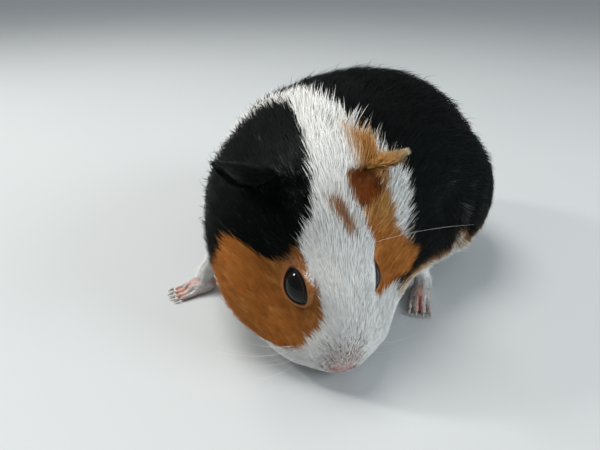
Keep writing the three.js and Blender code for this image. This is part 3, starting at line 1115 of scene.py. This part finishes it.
def bare_feet(points):
    """How bare the feet are: the toes and the middle of a foot, between hairy sides."""
    bare = np.full(len(points), 0.95)
    for leg in LEGS:
        tips, back = toe_lines(leg)
        local = (points - sum(tips) / len(tips)) / MM
        near = np.linalg.norm(local, axis=1) < 12
        run = local @ back
        aside = np.abs(local @ np.cross(UP, back))
        start = -1.0 if leg == "front_left" else 2.5
        hairy = smooth(run, start, start + 2) * smooth(aside, 0.7, 1.5)
        bare[near] = (0.95 - 0.75 * hairy)[near]
    return bare


def growing(ground, shares):
    """Where hair grows: not in the eyes and ears, thinly on the nose and feet, and less underneath."""
    clear = clearings(ground.points)[0]
    weight = smooth(clear, 0.1, 0.45) * smooth(ground.points[:, 2], 0.35 * MM, 0.9 * MM)
    local = HEAD.local(ground.points)
    from_tip = np.linalg.norm(local - NOSE_MIDDLE - [1.6, 0, 2.2], axis=1)
    nose = smooth(from_tip, 2.5, 1.3) * share_of(shares, "head")
    feet = smooth(share_of(shares, "foot"), 0.3, 0.9) * bare_feet(ground.points)
    weight *= (1 - 0.8 * nose) * (1 - feet)
    weight *= 1 - 0.5 * smooth(ground.normals[:, 2], -0.2, -0.7)
    return weight / (ground.hair * hair_width(ground.hair))


def away_from_lids(lie, normal, clear, out, near):
    """The lie of hair that leans away from the lids, and the longest that it may be there."""
    lie = unit(lie + unit(flattened(out, normal)) * (near * LEAN_FROM_LIDS)[:, None])
    return unit(flattened(lie, normal)), 0.6 + 0.6 * np.maximum(clear, 0)


def lifted_on_head(lift, root, on_head):
    """Hair lies flatter on the face and stands up more under the cheeks."""
    local = HEAD.local(root)
    lift = lift * (1 - 0.35 * on_head * smooth(local[:, 0], -4, 6) * smooth(local[:, 2], -10, -5))
    return lift * (1 + 0.9 * on_head * smooth(local[:, 2], -6, -11) * smooth(local[:, 0], 20, 14))


def draw_of(clumps, clump, share, tip, normal, length):
    """How far each hair's tip is drawn towards the tip of its clump."""
    wanted = (clumps.root[clump] + clumps.reach[clump] * share - tip) * DRAW
    draw = flattened(wanted, normal)
    limit = DRAW_LIMIT * length * MM / np.maximum(np.linalg.norm(draw, axis=1), 1e-9)
    return draw * np.minimum(1, limit)[:, None]


def tuft_colours(spots, root, shares, tone, rng):
    colour = coat_colours(spots, shares, rng)
    colour = varied(specks(colour, root, shares, rng), tone, rng)
    return np.clip(colour * (tone * rng.normal(1, 0.08, tone.shape).clip(0.75, 1.25)), 0, 0.97)


def layer_tufts(ground, shares, spots, weight, clumps, layer, rng):
    """The tufts of one layer, before they are combed."""
    roots = ground.roots(weight, int(layer.tufts * SPARSE), rng)
    n = len(roots[0])
    root = ground.at(ground.points, roots)
    normal = unit(ground.at(ground.normals, roots))
    clump = clumps.nearest(root)
    turn = clumps.turn[clump] + rng.normal(0, 0.09, n)
    lie = turned_about(unit(ground.at(ground.lie, roots)), normal, turn)
    clear, out = clearings(root)
    near_lids = smooth(clear, 3.5, 0.3)
    lie, longest = away_from_lids(lie, normal, clear, out, near_lids)
    length = ground.at(ground.hair, roots) * layer.length * rng.normal(1, 0.14, n).clip(0.6, 1.5)
    length = np.minimum(length, longest)
    body_shares = ground.at(shares, roots)
    on_head = share_of(body_shares, "head")
    lift = np.radians(layer.lift + rng.normal(0, 4, n)) + clumps.lift[clump]
    draw = draw_of(clumps, clump, layer.length, root + lie * length[:, None] * MM, normal, length)
    colour = tuft_colours(ground.at(spots, roots), root, body_shares, clumps.tone[clump], rng)
    return {
        "root": root - normal * 0.1 * MM,
        "normal": normal,
        "lie": lie,
        "length": length,
        "width": hair_width(length) * layer.girth * rng.normal(1, 0.18, n).clip(0.5, 1.6),
        "lift": lifted_on_head(lift, root, on_head).clip(0.05, 0.9),
        "draw": draw * (1 - near_lids)[:, None],
        "colour": colour,
        "place": ground.unwrap_at(roots),
        "on_head": on_head,
    }


def varied(colour, clump_tone, rng):
    """Orange hair runs from gold to brown from one clump to the next. White and black hair stays as it is."""
    orange = smooth(colour[:, 0] - colour[:, 2], 0.1, 0.3)
    golden = smooth(clump_tone[:, 0] + rng.normal(0, 0.03, len(colour)), 1.0, 1.09)
    brown = smooth(clump_tone[:, 0] + rng.normal(0, 0.03, len(colour)), 1.0, 0.91)
    colour = mixed(colour, GOLD, orange * golden * 0.6)
    return mixed(colour, DARK_ORANGE, orange * brown * 0.6)


def specks(colour, root, shares, rng):
    """Darker hairs among the white ones at the nose."""
    local = HEAD.local(root)
    nose = smooth(local[:, 0], 17.0, 21.0) * smooth(np.abs(local[:, 1]), 5.5, 2.5)
    dark = nose * share_of(shares, "head") * SPECK_SHARE > rng.random(len(root))
    return np.where(dark[:, None], SPECK, colour)


def grow_coat(ground, shares, spots, tree, material):
    """The three layers of the coat, each in pieces from the head to the rump."""
    rng = np.random.default_rng(SEED)
    clumps = Clumps(ground, CLUMPS, rng)
    weight = growing(ground, shares)
    back = np.append(unit((centre("rump") - centre("head"))[:2]), 0)
    for layer in LAYERS:
        tufts = layer_tufts(ground, shares, spots, weight, clumps, layer, rng)
        comb(tufts, tree)
        order = np.argsort(tufts["root"] @ back, kind="stable")
        pieces = int(np.ceil(len(order) * layer.triangles() / PIECE_TRIANGLES))
        for k, part in enumerate(np.array_split(order, pieces)):
            some = {key: value[part] for key, value in tufts.items()}
            tuft_mesh(f"coat_{layer.name}_{k + 1}", some, layer.rings, material)


# ---- eyes

PUPIL = np.array([0.002, 0.002, 0.002])
IRIS = np.array([0.007, 0.0045, 0.003])
ROWS, COLUMNS = 48, 64  # of the grids of the eyeballs and the ears


def round_grid(gap):
    """Angles in radians from a pole and round it, for a ball with small gaps at its poles."""
    polar = np.linspace(gap, np.pi - gap, ROWS)[:, None]
    return polar, np.linspace(0, 2 * np.pi, COLUMNS, endpoint=False)[None]


def make_eye(name, material):
    """An eyeball with a slight bulge in front, painted with a pupil, an iris and a dark rim."""
    middle, front, upward, out = eye_place(name)
    polar, turn = round_grid(0.001)
    radius = EYE_RADIUS * MM * (1 + 0.03 * hollow(polar, 0.7))
    ahead = front * (np.sin(polar) * np.cos(turn))[..., None]
    aside = ahead + upward * (np.sin(polar) * np.sin(turn))[..., None]
    points = middle + (aside + out * (np.cos(polar) * np.ones_like(turn))[..., None]) * radius[..., None]
    triangles = grid_triangles(ROWS, COLUMNS)
    if name == "eye_left":
        triangles = triangles[:, ::-1]
    mesh = triangle_mesh(name + "_ball", points.reshape(-1, 3), triangles)
    angle = np.repeat(np.degrees(polar[:, 0]), COLUMNS)
    colour = mixed(filled(PUPIL, len(angle)), IRIS, smooth(angle, 24, 29))
    paint(mesh, mixed(colour, PUPIL, smooth(angle, 42, 50)))
    made = add_object(name + "_ball", mesh, material)
    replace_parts(made, name)


def make_lid_rim(name, material):
    """The bare edge of the lids, a thin soft ring round the opening."""
    middle, front, upward, out = eye_place(name)
    degrees = np.linspace(0, 360, 96, endpoint=False)
    turn = np.radians(degrees)[:, None]
    edge = np.radians(opening(degrees, name) + 0.5)[:, None]
    ways = (front * np.cos(turn) + upward * np.sin(turn)) * np.sin(edge) + out * np.cos(edge)
    path = middle + ways * (EYE_RADIUS + 0.1) * MM
    aside = unit(np.cross(ways, np.roll(path, -1, 0) - np.roll(path, 1, 0)))
    sides = np.radians(np.linspace(0, 360, 8, endpoint=False))[None, :, None]
    ring = ways[:, None] * np.sin(sides) + aside[:, None] * np.cos(sides)
    points = path[:, None] + ring * LID_RIM * MM
    triangles = grid_triangles(len(path), 8, closed=True)
    mesh = triangle_mesh(name + "_lid_rim", points.reshape(-1, 3), triangles)
    add_object(name + "_lid_rim", mesh, material)


# ---- ears

EAR_LENGTH = {"ear_left": 10.1, "ear_right": 12.4}
EAR_WIDTH = 14.0
EAR_THICKNESS = 1.0
EAR_ROOT_PLACE = (-13.2, 9.0, 8.5)  # in the head's own frame, for the left ear
EAR_LIFT = {"ear_left": 1.4, "ear_right": 3.6}
EAR_RISE = {"ear_left": 0.32, "ear_right": 0.12}
# Painted highlight: a paler line is painted along the right ear's fold, where light catches it.
EAR_FOLD_HIGHLIGHT = 0.3  # where the right ear folds over, from its middle line towards its upper rim
EAR_CURL = {"ear_left": 0.6, "ear_right": 1.0}
EAR_LEAN = {"ear_left": 12, "ear_right": 0}
EAR_HAIR = {"ear_left": 1.1, "ear_right": 0.9}  # length of the hair near its edge
EAR_TAN = np.array([0.27, 0.19, 0.095])
EAR_EDGE = np.array([0.60, 0.50, 0.36])
# The colour of the painted highlight along the right ear's fold.
FOLD_HIGHLIGHT_GREY = np.array([0.03, 0.03, 0.028])


def ear_directions(name):
    """Up, out and forward for an ear on the right side, in the head's own directions."""
    up = unit(np.array([0.3, 0, 1]))
    out = unit(np.array([-0.25, -1, EAR_RISE[name]]))
    forward = unit(np.cross(up, out))
    up = np.cross(out, forward)
    lean = np.radians(EAR_LEAN[name])
    up, forward = (v * np.cos(lean) + np.cross(out, v) * np.sin(lean) for v in (up, forward))
    return np.stack([up, out, forward])


def ear_points(name):
    """A petal that stands out from the side of the head, cupped forward, with its upper rim folded over."""
    polar, turn = round_grid(0.02)
    y = -np.cos(polar) * np.ones_like(turn)
    x = np.sin(polar) * np.cos(turn)
    z = np.sin(polar) * np.sin(turn)
    far = (y + 1) / 2
    width = EAR_WIDTH / 2 * (0.72 + 0.4 * np.sin(np.pi * far))
    fold = np.where(x > 0, 0.5, 0.3) * EAR_CURL[name]
    ripple = 0.2 * np.sin(x * 7 + 1) * far + 0.15 * np.sin(x * 15) * far**2
    local = np.stack([
        x * width,
        far * EAR_LENGTH[name] + 0.25 * np.sin(x * 9) * far,
        z * EAR_THICKNESS / 2 * (1.5 - 0.6 * far) + fold * x * x * width + ripple,
    ], -1).reshape(-1, 3)
    placed = local @ ear_directions(name)
    placed += np.array(EAR_ROOT_PLACE) * [1, -1, 1] + [0, 0, EAR_LIFT[name]]
    if name == "ear_left":
        placed = placed * [1, -1, 1]
    return HEAD.origin + placed @ HEAD.axes * MM, far.ravel(), x.ravel()


def ear_colours(name, far, across):
    """The right ear is black with a painted highlight along its fold. The left one runs from gold through tan
    to a pale edge.
    """
    if name == "ear_right":
        # Painted highlight: a thin paler line along the fold of the black right ear.
        fold_highlight = hollow(across - EAR_FOLD_HIGHLIGHT, 0.1) * smooth(far, 0.15, 0.3)
        return mixed(filled(BLACK, len(far)), FOLD_HIGHLIGHT_GREY, fold_highlight)
    colour = mixed(filled(GOLD * 0.8, len(far)), EAR_TAN, smooth(far, 0.3, 0.7))
    return mixed(colour, EAR_EDGE, smooth(far, 0.75, 1.0))


def make_ear(name, material, hair_material):
    """An ear's bare shape, with short hair on it."""
    points, far, across = ear_points(name)
    triangles = grid_triangles(ROWS, COLUMNS)
    if name == "ear_right":
        triangles = triangles[:, ::-1]
    mesh = triangle_mesh(name + "_petal", points, triangles)
    colour = ear_colours(name, far, across)
    paint(mesh, colour)
    add_grid_unwrap(mesh, triangles)
    normals = array_of(mesh.vertex_normals, "vector", 3)
    sheet = points.reshape(ROWS, COLUMNS, 3)
    outward = np.roll(sheet, -1, 0) - sheet
    outward[-1] = outward[-2]
    lie = unit(flattened(outward.reshape(-1, 3), normals))
    hair = EAR_HAIR[name] * (2.2 - 1.2 * smooth(far, 0.2, 0.8))
    ground = Ground(mesh, points, normals, lie, hair)
    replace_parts(add_object(name + "_petal", mesh, material), name)
    add_ear_hair(name, ground, colour, hair_material)


def add_grid_unwrap(mesh, triangles):
    """An unwrap of a rolled sheet by its own rows and columns."""
    rows, columns = (np.linspace(0.02, 0.98, count) for count in (ROWS, COLUMNS))
    spots = np.stack(np.meshgrid(rows, columns, indexing="ij"), -1)
    layer = mesh.uv_layers.new(name="OFBake")
    layer.uv.foreach_set("vector", spots.reshape(-1, 2)[triangles.ravel()].astype(np.float32).ravel())


def add_ear_hair(name, ground, colour, material):
    rng = np.random.default_rng(SEED + len(name))
    roots = ground.roots(np.ones(len(ground.points)), int(EAR_TUFTS * SPARSE), rng)
    n = len(roots[0])
    normal = unit(ground.at(ground.normals, roots))
    lie = turned_about(unit(ground.at(ground.lie, roots)), normal, rng.normal(0, 0.25, n))
    length = ground.at(ground.hair, roots) * rng.normal(1, 0.25, n).clip(0.4, 1.6)
    tufts = {
        "root": ground.at(ground.points, roots) - normal * 0.05 * MM,
        "normal": normal,
        "lie": lie,
        "length": length,
        "width": 0.1 + 0.012 * length,
        "lift": np.radians(rng.normal(16, 5, n)).clip(0.05, 0.6),
        "bend": np.zeros((n, 3)),
        "normal_at_tip": normal,
        "colour": ground.at(colour, roots) * rng.normal(1.1, 0.2, (n, 1)).clip(0.5, 1.8),
        "place": ground.unwrap_at(roots),
    }
    tuft_mesh("coat_" + name, tufts, BLADE, material)


# ---- claws and whiskers


CLAW_ARCH = 0.18  # how far the middle of a claw rises over a straight line
CLAW_TIP = 0.04  # radius


def claw_shape(corners, foot):
    """A curved, tapering horn as long and as thick as the claw with these corners."""
    middle = corners.mean(0)
    axis = np.linalg.svd(corners - middle)[2][0]
    if axis @ (middle - foot) < 0:
        axis = -axis
    reach = (corners - middle) @ axis
    start, end = middle + axis * reach.min(), middle + axis * reach.max()
    t = np.linspace(0, 1, 12)
    girth = np.ptp((corners - middle) @ unit(np.cross(axis, UP))) / 2
    path = start + (end - start) * t[:, None] + UP * (np.sin(np.pi * t) * CLAW_ARCH * MM)[:, None]
    points, triangles = tube(path, girth * (1 - t**1.6) + CLAW_TIP * MM, 12)
    points[:, 2] = np.maximum(points[:, 2], 0.02 * MM)
    return points, triangles


def make_claws(material):
    for leg in LEGS:
        foot = centre("foot_" + leg)
        for name in [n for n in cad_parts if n.startswith("claw_" + leg)]:
            mesh = triangle_mesh(name + "_horn", *claw_shape(corners_of(name), foot))
            made = add_object(name + "_horn", mesh, material)
            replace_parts(made, name)


def whisker(skin_tree, spot, way, droop, length, radius):
    """A tapering hair from the skin nearest to a spot of the head, with its radii at root and tip."""
    start = np.array(skin_tree.find_nearest(Vector(HEAD.at(*spot)))[0])
    t = np.linspace(0, 1, 14)[:, None]
    path = start + (unit(way) * t + droop * t * t) * length * MM
    path[:, 2] = np.maximum(path[:, 2], 0.2 * MM)
    return tube(path, np.linspace(*radius, len(path)) * MM, 5)


def muzzle_whisker(skin_tree, sign, row, column, rng):
    """A whisker of the rows of two beside the nose, on the left if the sign is 1."""
    spot = (18.5 - column * 2.2, sign * (6.5 + 0.5 * column), -3.5 - row * 2.2)
    way = np.array([0.35 - 0.25 * column, sign, -0.35 + 0.12 * row]) + rng.normal(0, 0.1, 3)
    droop = HEAD.turned(np.array([-0.3, 0.1 * sign, -0.2])) + rng.normal(0, 0.04, 3)
    length = 8 + 2.5 * column + rng.normal(0, 1.5)
    return whisker(skin_tree, spot, HEAD.turned(way), droop, length, (0.034, 0.010))


def make_whiskers(skin_tree, material):
    """Fine whiskers from the pads beside the nose, and one long hair over the left eye."""
    rng = np.random.default_rng(SEED + 1)
    places = [(sign, row, column) for sign in (-1, 1) for row in range(4) for column in range(2)]
    parts = [muzzle_whisker(skin_tree, *place, rng) for place in places]
    way = HEAD.turned(np.array([-0.1, 1, 0.3]))
    parts.append(whisker(skin_tree, (1.5, 8.5, 9), way, -UP * 0.14, 21, (0.026, 0.008)))
    mesh = triangle_mesh("whiskers", *joined(parts))
    # A hair so fine is lit from all round, so it takes its shading from straight above.
    mesh.normals_split_custom_set_from_vertices(np.tile(UP, (len(mesh.vertices), 1)))
    add_object("whiskers", mesh, material)


# ---- putting it together


def unwrap(mesh):
    """An unwrap of the skin's own shape, in the map that the coat's tufts share."""
    work = in_scene("unwrap", mesh)
    bpy.context.view_layer.objects.active = work
    work.select_set(True)
    mesh.uv_layers.new(name="OFBake")
    bpy.ops.object.mode_set(mode="EDIT")
    bpy.ops.mesh.select_all(action="SELECT")
    bpy.ops.uv.smart_project(angle_limit=np.radians(66), island_margin=0.004)
    bpy.ops.object.mode_set(mode="OBJECT")
    bpy.data.objects.remove(work)


surface, shares = make_skin()
unwrap(surface.mesh)
lie = lie_field(surface, shares)
hair = by_region(shares, HAIR, HEAD_HAIR, surface.points)
hair *= 1 - 0.72 * within_bowls(surface.points)
hair = np.minimum(hair, 1.0 + 0.7 * surface.points[:, 2] / MM)
spots = surface.points + lie * (hair * HAIR_MIDDLE * MM)[:, None]
rng = np.random.default_rng(SEED + 2)
paint(surface.mesh, skin_colours(surface, spots, shares, rng))
surface.mesh.polygons.foreach_set("use_smooth", np.ones(len(surface.mesh.polygons), bool))
ground = Ground(surface.mesh, surface.points, surface.normals(), lie, hair)
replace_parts(add_object("skin", surface.mesh, skin_material()), *FLESH)
print("skin triangles", len(ground.triangles))

coat_look = coat_material()
tree = BVHTree.FromPolygons(surface.points.tolist(), ground.triangles.tolist())
grow_coat(ground, shares, spots, tree, coat_look)
eye_look, lid_look, ear_look = eye_material(), lid_material(), ear_material()
for name in EYES:
    make_eye(name, eye_look)
    make_lid_rim(name, lid_look)
for name in EARS:
    make_ear(name, ear_look, coat_look)
make_claws(claw_material())
make_whiskers(tree, whisker_material())


# ---- floor, light and camera


FLOOR_HALF = 3.0  # half the side of the floor, in metres


def make_floor():
    made = bmesh.new()
    bmesh.ops.create_grid(made, x_segments=8, y_segments=8, size=FLOOR_HALF)
    mesh = bpy.data.meshes.new("floor")
    made.to_mesh(mesh)
    made.free()
    floor = in_scene("floor", mesh)
    mesh.materials.append(floor_material())


def add_light(name, place, towards, size, power, colour):
    """A round lamp, with its places and its size in metres."""
    data = bpy.data.lights.new(name, "AREA")
    data.shape = "DISK"
    data.size = size
    data.energy = power
    data.color = colour
    light = in_scene(name, data)
    light.location = place
    light.rotation_mode = "QUATERNION"
    light.rotation_quaternion = (Vector(towards) - Vector(place)).to_track_quat("-Z", "Y")


def light_scene():
    world = bpy.data.worlds.new("studio")
    world.use_nodes = True
    background = world.node_tree.nodes["Background"]
    background.inputs["Color"].default_value = (0.88, 0.95, 1.0, 1)
    background.inputs["Strength"].default_value = 0.33
    bpy.context.scene.world = world
    add_light("ceiling", (-0.20, 0.10, 0.62), (0, 0, 0), 0.34, 2.7, (1.0, 0.985, 0.94))
    add_light("window", (0.52, -0.20, 0.30), (0, 0, 0.02), 0.3, 1.6, (0.86, 0.95, 1.0))
    add_light("lamp", (-0.41, 0.075, 0.33), (0, 0, 0.02), 0.07, 0.75, (1.0, 0.98, 0.93))


CAMERA_FROM_NOSE_SIDE = (34.5, -66.4, 75.2)  # from the box's low corner in x and y, and from the floor
CAMERA_DIP = 28.6  # below level
CAMERA_ROLL = 0.5
LENS = 28.2
SENSOR = 36


def make_camera():
    data = bpy.data.cameras.new("camera")
    data.lens = LENS
    data.sensor_width = SENSOR
    data.clip_start = 0.005
    camera = in_scene("camera", data)
    low = CAD_BOX[0]
    camera.location = Vector((low.x, low.y, 0)) + Vector(CAMERA_FROM_NOSE_SIDE) * MM
    dip = Euler((np.radians(90 - CAMERA_DIP), 0, 0)).to_matrix()
    camera.rotation_euler = (dip @ Matrix.Rotation(np.radians(CAMERA_ROLL), 3, "Z")).to_euler()
    bpy.context.scene.camera = camera


make_floor()
light_scene()
make_camera()
bpy.context.scene.view_settings.view_transform = "Standard"
bpy.context.view_layer.update()
